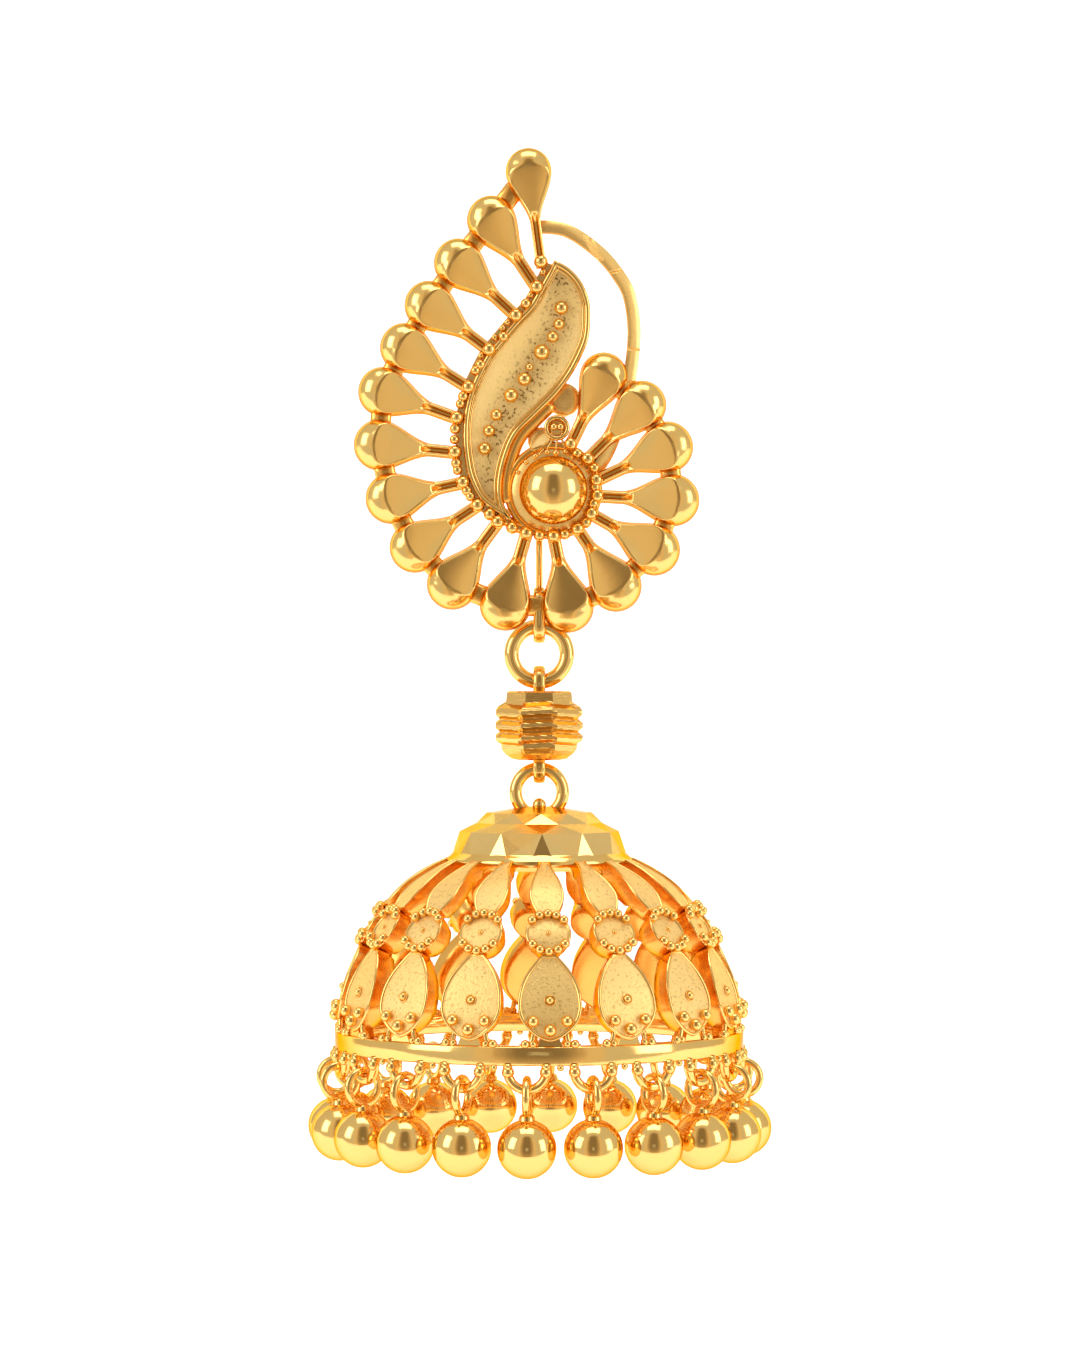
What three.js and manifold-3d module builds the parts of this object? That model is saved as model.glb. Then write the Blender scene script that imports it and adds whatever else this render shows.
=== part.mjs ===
// A hanging bell earring: a stud of faceted petals round a curved tray, a jump ring,
// a faceted bead, and an open bell of sixteen columns with twenty ball drops under its rim.
// Millimetres, +Z up. The front faces -Y. The origin is the root of the ear post,
// where its pad meets the ear.
import * as THREE from 'three';
import { mergeVertices } from 'three/addons/utils/BufferGeometryUtils.js';
import Module from 'manifold-3d';

const wasm = await Module();
wasm.setup();

// ---------------------------------------------------------------- named sizes
const STUD_BACK = -0.35;          // back plane of petals, tray and cup
const PETAL_FRONT = -1.75;        // crown of a petal
const PETAL_TAPER = 3.0;          // bulb centre to neck
const NECK_HALF = 0.32;
const STEM_WIDTH = 0.58;
const STEM_FRONT = -0.95;
const STEM_TUCK = 1.0;            // how far a stem runs in under the tray or the cup
const TRAY_FRONT = -1.15;
const TRAY_FLOOR = -0.85;
const TRAY_RIM = 0.34;
const CUP = { x: -0.63, z: -5.44, outer: 2.41, inner: 2.1, front: -1.3, floor: -0.62 };
const BALL = { r: 1.97, y: -1.6, back: -0.68 };
const BACKING = { r: 2.95, front: -0.6 };
const SCROLL = { x: -0.9, z: -1.85, r: 1.25, front: -0.95 };
const HOOP = { half: 0.41, front: -0.45, back: 0 };
const POST = { pad: 1.0, padFront: -0.3, r: 0.45, length: 10.5 };

const AXIS_X = -1.467;            // the hanging line
const AXIS_Y = 0.2;
const LOOP_WIDTH = 0.72;          // flat wire of the three loops
const STUD_LOOP = { top: -11.15, bottom: -14.49, wire: 0.47, outer: 1.07, inner: 0.6 };
const JUMP = { z: -15.15, R: 1.65, r: 0.438 };
const BEAD_TOP_LOOP = { top: -15.84, bottom: -18.0, wire: 0.44, outer: 1.03, inner: 0.6 };
const BEAD_LOW_LOOP = { top: -20.9, bottom: -22.85, wire: 0.4, outer: 0.95, inner: 0.55 };
const DOME_RING = { z: -23.39, R: 1.405, r: 0.383 };

const COLUMNS = 16;
const COLUMN_START = 3;           // degrees round from the front, towards +X
const DROPS = 20;
const DROP_START = -3.3;
const DROP_RADIUS = 12.15;        // circle of the U loops and drops
const U_LOOP = { z: -38.88, R: 1.06, r: 0.26, top: -38.3 };
const DROP = { ringZ: -40.365, R: 0.985, r: 0.235, ballZ: -43.325, ball: 1.7, collar: 0.44 };

// petals, anticlockwise from the top: root, bulb centre and bulb radius
const PETALS = [
  // root_x root_z bulb_x bulb_z bulb_r
  [-1.37, 8.14, -2.10, 13.54, 1.48],
  [-1.61, 6.64, -4.31, 10.69, 1.39],
  [-2.85, 4.96, -6.28, 8.14, 1.39],
  [-4.44, 2.92, -8.03, 5.62, 1.39],
  [-5.67, 0.70, -9.49, 3.10, 1.39],
  [-6.36, -1.12, -10.77, 0.47, 1.41],
  [-6.48, -3.16, -10.99, -2.70, 1.45],
  [-6.01, -4.96, -10.29, -5.88, 1.45],
  [-5.14, -6.33, -8.87, -8.80, 1.44],
  [-3.92, -7.31, -6.64, -10.99, 1.45],
  [-2.22, -7.97, -3.48, -12.23, 1.46],
  [-0.61, -8.15, 0.24, -12.34, 1.47],
  [0.82, -7.72, 3.10, -11.10, 1.46],
  [1.63, -6.81, 5.39, -8.95, 1.46],
  [1.98, -5.75, 6.52, -5.99, 1.48],
  [1.92, -4.83, 6.17, -2.83, 1.46],
  [1.42, -3.56, 4.64, -0.33, 1.39],
  [0.41, -2.69, 2.37, 1.39, 1.35],
];

// tray outline, from its upper tip down: left edge and right edge
const TRAY = [
  // left_x left_z right_x right_z
  [-0.55, 8.21, -0.55, 8.21],
  [-1.02, 7.30, 0.29, 7.74],
  [-1.46, 6.50, 1.02, 6.93],
  [-2.01, 5.55, 1.46, 5.84],
  [-2.85, 4.67, 1.53, 4.75],
  [-3.72, 3.65, 1.42, 3.58],
  [-4.53, 2.63, 1.02, 2.55],
  [-5.15, 1.46, 0.44, 1.46],
  [-5.62, 0.29, -0.44, 0.29],
  [-5.89, -0.95, -1.68, -0.95],
  [-5.96, -2.19, -2.81, -2.12],
  [-5.88, -3.36, -3.39, -3.43],
  [-5.62, -4.67, -3.69, -4.75],
  [-5.04, -5.84, -3.69, -5.91],
  [-4.38, -6.46, -3.43, -6.64],
  [-3.14, -7.23, -3.14, -7.23],
];

// the recess's own tips, upper and lower
const TRAY_TIPS = [
  // x z
  [-0.50, 7.55], [-3.75, -6.55],
];

// centre line of the hoop behind the petals
const HOOP_LINE = [
  // x z
  [-1.75, 10.22], [0.07, 10.11], [1.13, 9.53], [2.34, 8.54], [3.27, 7.39], [3.87, 6.28],
  [4.15, 4.75], [4.16, 3.28], [3.91, 1.31], [3.36, -1.09], [2.63, -3.07], [1.82, -4.38],
];

// bead: distance from the axis to a flat, and height
const BEAD = [
  // flat z
  [1.75, -17.34], [2.01, -18.14], [2.58, -18.69], [2.58, -19.20], [2.44, -19.45], [2.61, -19.70],
  [2.61, -20.15], [2.26, -20.55], [2.08, -21.05], [1.61, -21.38], [1.20, -21.48],
];

// cap: outside from the top down, then inside from the lip up
const CAP = [
  // r z
  [0, -24.24], [1.82, -24.24], [3.21, -24.60], [4.45, -25.33], [5.11, -26.64], [5.58, -27.30],
  [5.52, -27.95], [4.95, -27.95], [4.65, -26.90], [3.90, -25.90], [0, -24.95],
];
// rim band, all the way round its section
const RIM = [
  // r z
  [12.21, -37.52], [12.21, -38.62], [11.30, -38.62], [11.30, -37.52],
];

// pieces of one column of the open bell: distance from the axis and height of the front face's centre, and its tilt
const LEAF = { r: 7.32, z: -28.50, tilt: 51, depth: 1.15, top: 2.3, bottom: -2.3, half: 0.97, neck: 0.42 };
const MEDALLION = { r: 10.05, z: -31.15, tilt: 33, depth: 1.45, rad: 1.24 };
const TEARDROP = { r: 11.72, z: -35.0, tilt: 16.5, depth: 1.4, top: 2.85, bottom: -2.3, half: 1.67 };
const FOOT = { width: 1.2, top: -36.9, bottom: -37.8, inner: 11.35, outer: 12.1 };

// ---------------------------------------------------------------- helpers
const solid = (geometry) => {
  const g = geometry.index ? geometry.toNonIndexed() : geometry.clone();
  for (const key of Object.keys(g.attributes)) if (key !== 'position') g.deleteAttribute(key);
  const m = mergeVertices(g, 1e-4);
  const p = m.attributes.position.array;
  const tri = [];
  for (let i = 0; i < m.index.count; i += 3) {
    const [a, b, c] = [m.index.getX(i), m.index.getX(i + 1), m.index.getX(i + 2)];
    if (a !== b && b !== c && a !== c) tri.push(a, b, c);
  }
  let volume = 0;
  const v = (k) => new THREE.Vector3(p[3 * k], p[3 * k + 1], p[3 * k + 2]);
  for (let i = 0; i < tri.length; i += 3) volume += v(tri[i]).dot(v(tri[i + 1]).cross(v(tri[i + 2])));
  if (volume < 0) for (let i = 0; i < tri.length; i += 3) [tri[i + 1], tri[i + 2]] = [tri[i + 2], tri[i + 1]];
  return new wasm.Manifold(new wasm.Mesh({
    numProp: 3, vertProperties: new Float32Array(p), triVerts: new Uint32Array(tri),
  }));
};
const joined = (list) => list.slice(1).reduce((sum, one) => sum.add(one), list[0]);
const geometryOf = (manifold) => {
  const mesh = manifold.getMesh();
  const g = new THREE.BufferGeometry();
  g.setAttribute('position', new THREE.BufferAttribute(new Float32Array(mesh.vertProperties), 3));
  g.setIndex(new THREE.BufferAttribute(new Uint32Array(mesh.triVerts), 1));
  g.computeVertexNormals();
  return g;
};
const shapeOf = (points) => new THREE.Shape(points.map(([x, y]) => new THREE.Vector2(x, y)));

// a plate drawn in X and Z, from its back at y0 to its front at y1
const plate = (shape, y0, y1, extra = {}) => {
  const g = new THREE.ExtrudeGeometry(shape, { depth: y0 - y1, bevelEnabled: false, curveSegments: 12, ...extra });
  return g.rotateX(Math.PI / 2).translate(0, y0, 0);
};
const disc = (x, z, r, y0, y1, sides = 24) =>
  new THREE.CylinderGeometry(r, r, y0 - y1, sides).translate(x, (y0 + y1) / 2, z);

// a flat wire loop in the Y-Z plane, its wire width along X
const loop = (L) => {
  const ring = (half, top, bottom) => {
    const s = new THREE.Path();
    s.moveTo(-half, top - half);
    s.lineTo(-half, bottom + half);
    s.absarc(0, bottom + half, half, Math.PI, 2 * Math.PI, false);
    s.lineTo(half, top - half);
    s.absarc(0, top - half, half, 0, Math.PI, false);
    return s.getPoints(6).filter((p, i, all) => i === 0 || p.distanceTo(all[i - 1]) > 1e-6).slice(0, -1);
  };
  const outline = new THREE.Shape(ring(L.outer, L.top, L.bottom));
  outline.holes.push(new THREE.Path(ring(L.inner, L.top - L.wire, L.bottom + L.wire).reverse()));
  const g = new THREE.ExtrudeGeometry(outline, {
    depth: LOOP_WIDTH - 0.38, bevelEnabled: true, bevelThickness: 0.19, bevelSize: 0.14, bevelOffset: -0.14, bevelSegments: 1, curveSegments: 6,
  });
  g.translate(0, 0, -(LOOP_WIDTH - 0.38) / 2);
  g.rotateX(Math.PI / 2).rotateZ(Math.PI / 2);   // shape x to Y, shape y to Z, depth to X
  return g.translate(AXIS_X, AXIS_Y, 0);
};
const wireRing = (z, R, r, sides, steps) =>
  new THREE.TorusGeometry(R, r, sides, steps).rotateX(Math.PI / 2).translate(AXIS_X, AXIS_Y, z);

// ---------------------------------------------------------------- stud
const petal = ([rx, rz, bx, bz, br]) => {
  const along = new THREE.Vector2(bx - rx, bz - rz);
  const length = along.length();
  const angle = Math.atan2(along.y, along.x);
  // outline with the bulb's centre at 0 and the neck at -PETAL_TAPER
  const half = Math.acos((br - NECK_HALF) / PETAL_TAPER);
  const s = new THREE.Shape();
  const turn = Math.PI - half;
  s.moveTo(-PETAL_TAPER, -NECK_HALF);
  s.lineTo(br * Math.cos(-turn), br * Math.sin(-turn));
  s.absarc(0, 0, br, -turn, turn, false);
  s.lineTo(-PETAL_TAPER, NECK_HALF);
  const body = new THREE.ExtrudeGeometry(s, {
    depth: 0.75, bevelEnabled: true, bevelThickness: 0.42, bevelSize: 0.3, bevelOffset: -0.3, bevelSegments: 1, curveSegments: 5,
  }).translate(0, 0, 0.22);
  const height = STUD_BACK - PETAL_FRONT;
  let form = solid(body);
  // the back is flat, and a slanting plane cuts the neck side down
  form = form.subtract(solid(new THREE.BoxGeometry(20, 20, 2).translate(0, 0, -1)));
  const wedge = new THREE.BoxGeometry(8, 8, 2).translate(-4, 0, 1);
  wedge.rotateY(-Math.atan2(0.62, 3.4)).translate(0.55, 0, height);
  form = form.subtract(solid(wedge));
  const stem = new THREE.BoxGeometry(length - PETAL_TAPER + STEM_TUCK + 0.5, STEM_WIDTH, STUD_BACK - STEM_FRONT);
  stem.translate(-PETAL_TAPER + 0.5 - (length - PETAL_TAPER + STEM_TUCK + 0.5) / 2, 0, (STUD_BACK - STEM_FRONT) / 2);
  form = form.add(solid(stem));
  const place = new THREE.Matrix4().makeTranslation(bx, STUD_BACK, bz)
    .multiply(new THREE.Matrix4().makeRotationX(Math.PI / 2))
    .multiply(new THREE.Matrix4().makeRotationZ(angle));
  return solid(geometryOf(form).applyMatrix4(place));
};

const trayOutline = (inset) => {
  const left = TRAY.map(([x, z]) => new THREE.Vector2(x, z));
  const right = TRAY.slice(1, -1).map((row) => new THREE.Vector2(row[2], row[3])).reverse();
  const ring = left.concat(right);            // anticlockwise, down the left and up the right
  if (!inset) return ring.map((p) => [p.x, p.y]);
  // the inner outline leaves out the rows beside the two tips, and has blunter tips of its own
  const last = TRAY.length - 1;
  const skip = [0, 1, last - 1, last, last + 1, ring.length - 1];
  const line = [];
  ring.forEach((p, i) => {
    if (i === 0) line.push(TRAY_TIPS[0]);
    if (i === last) line.push(TRAY_TIPS[1]);
    if (skip.includes(i)) return;
    const a = ring[(i + ring.length - 1) % ring.length];
    const b = ring[(i + 1) % ring.length];
    const t = b.clone().sub(a).normalize();
    line.push([p.x - t.y * inset, p.y + t.x * inset]);
  });
  return line;
};

const buildStud = () => {
  const parts = PETALS.map(petal);
  let tray = solid(plate(shapeOf(trayOutline(0)), STUD_BACK, TRAY_FRONT));
  tray = tray.subtract(solid(plate(shapeOf(trayOutline(TRAY_RIM)), TRAY_FLOOR, TRAY_FRONT - 1)));
  parts.push(tray);
  parts.push(solid(disc(CUP.x, CUP.z, BACKING.r, STUD_BACK, BACKING.front, 20)));
  parts.push(solid(disc(SCROLL.x, SCROLL.z, SCROLL.r, STUD_BACK, SCROLL.front, 12)));
  const cup = solid(disc(CUP.x, CUP.z, CUP.outer, STUD_BACK, CUP.front, 20))
    .subtract(solid(disc(CUP.x, CUP.z, CUP.inner, CUP.floor, CUP.front - 1, 20)));
  const curve = new THREE.SplineCurve(HOOP_LINE.map(([x, z]) => new THREE.Vector2(x, z)));
  const steps = 14;
  const outer = [];
  const inner = [];
  for (let i = 0; i <= steps; i += 1) {
    const p = curve.getPoint(i / steps);
    const t = curve.getTangent(i / steps);
    outer.push([p.x - t.y * HOOP.half, p.y + t.x * HOOP.half]);
    inner.unshift([p.x + t.y * HOOP.half, p.y - t.x * HOOP.half]);
  }
  parts.push(solid(plate(shapeOf(outer.concat(inner)), HOOP.back, HOOP.front)));
  // the bar behind the cup that carries the lower loop
  const bar = new THREE.BoxGeometry(LOOP_WIDTH, 0.45, 4.6).translate(AXIS_X, -0.225, -9.3);
  parts.push(solid(bar), solid(loop(STUD_LOOP)));
  // stems that reach in under the cup stay below its floor
  const hollow = solid(disc(CUP.x, CUP.z, CUP.inner, CUP.floor, CUP.front - 2, 20));
  const recess = solid(plate(shapeOf(trayOutline(TRAY_RIM)), TRAY_FLOOR, TRAY_FRONT - 1));
  return joined(parts).subtract(hollow).subtract(recess).add(cup);
};

const buildBall = () => {
  const steps = 9;
  const start = Math.asin((BALL.back - BALL.y) / BALL.r);
  const profile = [new THREE.Vector2(0, BALL.back)];
  for (let i = 0; i <= steps; i += 1) {
    const a = start - (start + Math.PI / 2) * (i / steps);
    profile.push(new THREE.Vector2(i === steps ? 0 : BALL.r * Math.cos(a), BALL.y + BALL.r * Math.sin(a)));
  }
  return solid(new THREE.LatheGeometry(profile, 20).translate(CUP.x, 0, CUP.z));
};

const buildPost = () => {
  const profile = [[0, POST.padFront], [POST.pad, POST.padFront], [POST.pad, 0], [POST.r, 0], [POST.r, POST.length - 0.4],
    [POST.r * 0.5, POST.length], [0, POST.length]].map(([r, y]) => new THREE.Vector2(r, y));
  return solid(new THREE.LatheGeometry(profile, 20));
};

// ---------------------------------------------------------------- links and bead
const buildBead = () => {
  const profile = [[0, BEAD[0][1]], ...BEAD, [0, BEAD[BEAD.length - 1][1]]]
    .map(([r, z]) => new THREE.Vector2(r / Math.cos(Math.PI / 8), z));
  const body = new THREE.LatheGeometry(profile, 8, Math.PI / 8).rotateX(Math.PI / 2).translate(AXIS_X, AXIS_Y, 0);
  return joined([solid(body), solid(loop(BEAD_TOP_LOOP)), solid(loop(BEAD_LOW_LOOP))]);
};

// ---------------------------------------------------------------- bell
// a frame on the bell: X round it, Y up its slope, Z out of it
const onBell = (azimuth, r, z, tilt) => {
  const a = THREE.MathUtils.degToRad(azimuth);
  const e = THREE.MathUtils.degToRad(tilt);
  const out = new THREE.Vector3(Math.sin(a), -Math.cos(a), 0);
  const up = new THREE.Vector3(0, 0, 1);
  const tangent = new THREE.Vector3(Math.cos(a), Math.sin(a), 0);
  const normal = out.clone().multiplyScalar(Math.cos(e)).addScaledVector(up, Math.sin(e));
  const slope = up.clone().multiplyScalar(Math.cos(e)).addScaledVector(out, -Math.sin(e));
  const place = out.clone().multiplyScalar(r).add(new THREE.Vector3(AXIS_X, AXIS_Y, z));
  return new THREE.Matrix4().makeBasis(tangent, slope, normal).setPosition(place);
};
const raised = (shape, depth, matrix, segments = 4) => {
  const g = new THREE.ExtrudeGeometry(shape, { depth, bevelEnabled: false, curveSegments: segments }).translate(0, 0, -depth);
  return solid(g.applyMatrix4(matrix));
};
const leafShape = () => shapeOf([[-LEAF.neck, LEAF.top], [-LEAF.half, LEAF.bottom + 0.7], [0, LEAF.bottom], [LEAF.half, LEAF.bottom + 0.7], [LEAF.neck, LEAF.top]]);
const medallionShape = () => {
  const s = new THREE.Shape();
  s.absarc(0, 0, MEDALLION.rad, 0, 2 * Math.PI, false);
  return s;
};
const teardropShape = () => {
  const s = new THREE.Shape();
  s.moveTo(0, TEARDROP.top);
  s.bezierCurveTo(-0.5, 1.6, -TEARDROP.half, 0.9, -TEARDROP.half, -0.35);
  s.bezierCurveTo(-TEARDROP.half, -1.5, -0.9, TEARDROP.bottom, 0, TEARDROP.bottom);
  s.bezierCurveTo(0.9, TEARDROP.bottom, TEARDROP.half, -1.5, TEARDROP.half, -0.35);
  s.bezierCurveTo(TEARDROP.half, 0.9, 0.5, 1.6, 0, TEARDROP.top);
  return s;
};
const uLoop = (azimuth) => {
  const points = [[-1, U_LOOP.top], [-1, U_LOOP.z]];
  for (const a of [205, 235, 270, 305, 335]) points.push([Math.cos(THREE.MathUtils.degToRad(a)), U_LOOP.z + U_LOOP.R * Math.sin(THREE.MathUtils.degToRad(a))]);
  points.push([1, U_LOOP.z], [1, U_LOOP.top]);
  const path = new THREE.CurvePath();
  const at = points.map(([x, z]) => new THREE.Vector3(x * U_LOOP.R, 0, z));
  for (let i = 1; i < at.length; i += 1) path.add(new THREE.LineCurve3(at[i - 1], at[i]));
  const section = new THREE.Shape();
  section.absarc(0, 0, U_LOOP.r, 0, 2 * Math.PI, false);
  const smooth = new THREE.CatmullRomCurve3(at, false, 'centripetal');
  const g = new THREE.ExtrudeGeometry(new THREE.Shape(section.getPoints(4).slice(0, 4)), { steps: 8, extrudePath: smooth, bevelEnabled: false });
  const a = THREE.MathUtils.degToRad(azimuth);
  g.rotateZ(a).translate(AXIS_X + DROP_RADIUS * Math.sin(a), AXIS_Y - DROP_RADIUS * Math.cos(a), 0);
  return solid(g);
};
const buildBell = () => {
  const turned = (rows, sides) => solid(new THREE.LatheGeometry(rows.map(([r, z]) => new THREE.Vector2(r, z)), sides)
    .rotateX(Math.PI / 2).translate(AXIS_X, AXIS_Y, 0));
  const parts = [turned(CAP, 24), turned([...RIM, RIM[0]], 48), solid(wireRing(DOME_RING.z, DOME_RING.R, DOME_RING.r, 8, 16))];
  for (let i = 0; i < COLUMNS; i += 1) {
    const az = COLUMN_START + i * 360 / COLUMNS;
    parts.push(raised(leafShape(), LEAF.depth, onBell(az, LEAF.r, LEAF.z, LEAF.tilt)));
    parts.push(raised(medallionShape(), MEDALLION.depth, onBell(az, MEDALLION.r, MEDALLION.z, MEDALLION.tilt), 4));
    parts.push(raised(teardropShape(), TEARDROP.depth, onBell(az, TEARDROP.r, TEARDROP.z, TEARDROP.tilt), 3));
    const foot = new THREE.BoxGeometry(FOOT.width, FOOT.outer - FOOT.inner, FOOT.top - FOOT.bottom)
      .translate(0, -(FOOT.outer + FOOT.inner) / 2, (FOOT.top + FOOT.bottom) / 2)
      .rotateZ(THREE.MathUtils.degToRad(az)).translate(AXIS_X, AXIS_Y, 0);
    parts.push(solid(foot));
  }
  for (let i = 0; i < DROPS; i += 1) parts.push(uLoop(DROP_START + i * 360 / DROPS));
  return joined(parts);
};

const buildDrop = (i) => {
  const a = THREE.MathUtils.degToRad(DROP_START + i * 360 / DROPS);
  const ring = new THREE.TorusGeometry(DROP.R, DROP.r, 4, 8).rotateX(Math.PI / 2).rotateZ(Math.PI / 2).translate(0, 0, DROP.ringZ);
  const ball = new THREE.SphereGeometry(DROP.ball, 8, 6).rotateX(Math.PI / 2).rotateZ(-Math.PI / 2).translate(0, 0, DROP.ballZ);
  const top = DROP.ballZ + DROP.ball;
  const collar = new THREE.CylinderGeometry(DROP.collar, DROP.collar, 0.7, 6).rotateX(Math.PI / 2).translate(0, 0, top);
  const form = joined([solid(ball), solid(collar), solid(ring)]);
  return geometryOf(form).rotateZ(a).translate(AXIS_X + DROP_RADIUS * Math.sin(a), AXIS_Y - DROP_RADIUS * Math.cos(a), 0);
};

// ---------------------------------------------------------------- assembly
const earring = new THREE.Group();
const add = (name, geometry, colour, roughness) => {
  const mesh = new THREE.Mesh(geometry, new THREE.MeshStandardMaterial({ color: colour, roughness, metalness: 1 }));
  mesh.name = name;
  earring.add(mesh);
};
add('stud_ornament', geometryOf(buildStud()), 0xe3ab4c, 0.3);
add('centre_ball', geometryOf(buildBall()), 0xe8b458, 0.12);
add('ear_post', geometryOf(buildPost()), 0xe3ab4c, 0.25);
add('jump_ring', geometryOf(solid(wireRing(JUMP.z, JUMP.R, JUMP.r, 8, 28))), 0xe8b458, 0.15);
add('faceted_bead', geometryOf(buildBead()), 0xe3ab4c, 0.28);
add('jhumka_dome', geometryOf(buildBell()), 0xdfa548, 0.35);
for (let i = 0; i < DROPS; i += 1) add(`drop_${String(i + 1).padStart(2, '0')}`, buildDrop(i), 0xe8b458, 0.12);

export default earring;
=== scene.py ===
import math
import bpy
import numpy as np
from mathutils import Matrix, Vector


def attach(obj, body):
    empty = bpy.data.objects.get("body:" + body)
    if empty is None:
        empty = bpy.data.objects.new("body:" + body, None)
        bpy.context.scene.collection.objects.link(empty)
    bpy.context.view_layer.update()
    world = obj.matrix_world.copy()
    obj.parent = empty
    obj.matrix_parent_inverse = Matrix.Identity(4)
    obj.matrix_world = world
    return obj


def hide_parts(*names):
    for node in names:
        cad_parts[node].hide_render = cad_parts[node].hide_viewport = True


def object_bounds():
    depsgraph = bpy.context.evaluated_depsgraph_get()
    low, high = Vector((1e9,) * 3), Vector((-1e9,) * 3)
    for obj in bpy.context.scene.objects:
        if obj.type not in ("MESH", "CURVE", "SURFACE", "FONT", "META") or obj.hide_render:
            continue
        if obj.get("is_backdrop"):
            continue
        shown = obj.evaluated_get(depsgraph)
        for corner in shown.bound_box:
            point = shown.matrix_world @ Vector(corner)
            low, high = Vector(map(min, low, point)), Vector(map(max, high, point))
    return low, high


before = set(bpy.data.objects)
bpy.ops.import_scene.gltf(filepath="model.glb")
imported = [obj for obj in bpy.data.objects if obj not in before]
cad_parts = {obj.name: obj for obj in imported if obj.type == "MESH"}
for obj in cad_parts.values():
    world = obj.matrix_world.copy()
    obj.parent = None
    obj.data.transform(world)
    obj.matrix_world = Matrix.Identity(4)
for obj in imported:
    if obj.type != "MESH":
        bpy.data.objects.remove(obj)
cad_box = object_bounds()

MM = 0.001
PI = math.pi
AXIS_X, AXIS_Y = -1.467, 0.2


# ------------------------------------------------------------------ mesh parts
# a part is (vertices in mm, faces, material index, smooth, tone), the mask carrying painted shade and speckle on the
# tray ground
class Part:
    def __init__(self, v, f, mat=0, smooth=True, tone=None):
        self.v = np.asarray(v, float)
        self.f = f
        self.mat = mat
        self.smooth = smooth
        self.tone = np.zeros(len(self.v)) if tone is None else np.asarray(tone, float)

    def moved(self, fn):
        return Part(fn(self.v), self.f, self.mat, self.smooth, self.tone)


def turn_z(a, origin=(0, 0, 0)):
    c, s = math.cos(a), math.sin(a)
    m = np.array([[c, -s, 0], [s, c, 0], [0, 0, 1]])
    o = np.array(origin, float)
    return lambda v: v @ m.T + o


def grid_faces(n, m, wrap_n=False, wrap_m=False, flip=False):
    rows = np.arange(n if wrap_n else n - 1)
    cols = np.arange(m if wrap_m else m - 1)
    i, j = np.meshgrid(rows, cols, indexing="ij")
    a = i * m + j
    b = i * m + (j + 1) % m
    c = ((i + 1) % n) * m + (j + 1) % m
    d = ((i + 1) % n) * m + j
    q = np.stack([a, d, c, b] if flip else [a, b, c, d], -1).reshape(-1, 4)
    return [tuple(x) for x in q.tolist()]


def sphere(c, r, nu=16, nv=10, mat=0, squash=1.0):
    th = np.linspace(0, PI, nv + 1)[1:-1]
    ph = np.linspace(0, 2 * PI, nu, endpoint=False)
    t, p = np.meshgrid(th, ph, indexing="ij")
    v = np.stack([np.sin(t) * np.cos(p), np.sin(t) * np.sin(p), np.cos(t) * squash], -1).reshape(-1, 3) * r
    v = np.vstack([v, [[0, 0, r * squash], [0, 0, -r * squash]]])
    f = grid_faces(nv - 1, nu, wrap_m=True, flip=True)
    top, low, last = len(v) - 2, len(v) - 1, (nv - 2) * nu
    for k in range(nu):
        f.append((top, k, (k + 1) % nu))
        f.append((low, last + (k + 1) % nu, last + k))
    return Part(v + np.array(c, float), f, mat)


def round_section(r, m, r2=None):
    a = np.linspace(0, 2 * PI, m, endpoint=False)
    return np.stack([r * np.cos(a), (r2 or r) * np.sin(a)], -1)


def sweep(path, section, binormal, closed=False, mat=0, smooth=True, scale=None):
    """A section swept along a path that lies in the plane with this binormal."""
    p = np.asarray(path, float)
    b = np.array(binormal, float)
    b /= np.linalg.norm(b)
    if closed:
        t = np.roll(p, -1, 0) - np.roll(p, 1, 0)
    else:
        t = np.gradient(p, axis=0)
    t /= np.linalg.norm(t, axis=1)[:, None]
    n = np.cross(b, t)
    n /= np.linalg.norm(n, axis=1)[:, None]
    s = np.asarray(section, float)
    k = np.ones(len(p)) if scale is None else np.asarray(scale, float)
    v = p[:, None] + (n[:, None] * s[None, :, :1] + b * s[None, :, 1:]) * k[:, None, None]
    f = grid_faces(len(p), len(s), wrap_n=closed, wrap_m=True)
    v = v.reshape(-1, 3)
    if not closed:
        v = np.vstack([v, p[:1], p[-1:]])
        m, last = len(s), (len(p) - 1) * len(s)
        for j in range(m):
            f.append((len(v) - 2, (j + 1) % m, j))
            f.append((len(v) - 1, last + j, last + (j + 1) % m))
    return Part(v, f, mat, smooth)


def ring_path(c, r, n, plane="XZ", a0=0.0, a1=2 * PI, end=False):
    a = np.linspace(a0, a1, n, endpoint=end)
    z = np.zeros_like(a)
    u, w = r * np.cos(a), r * np.sin(a)
    pts = np.stack({"XZ": (u, z, w), "YZ": (z, u, w), "XY": (u, w, z)}[plane], -1)
    return pts + np.array(c, float)


def lathe(rows, n, mat=0, smooth=True, close=False, axis=(AXIS_X, AXIS_Y)):
    rows = np.array(rows, float)
    a = np.linspace(0, 2 * PI, n, endpoint=False)
    r, z = rows[:, 0], rows[:, 1]
    v = np.stack([r[:, None] * np.sin(a), -r[:, None] * np.cos(a), np.repeat(z[:, None], n, 1)], -1).reshape(-1, 3)
    f = grid_faces(len(rows), n, wrap_n=close, wrap_m=True, flip=True)
    return Part(v + np.array([axis[0], axis[1], 0]), f, mat, smooth)


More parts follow.
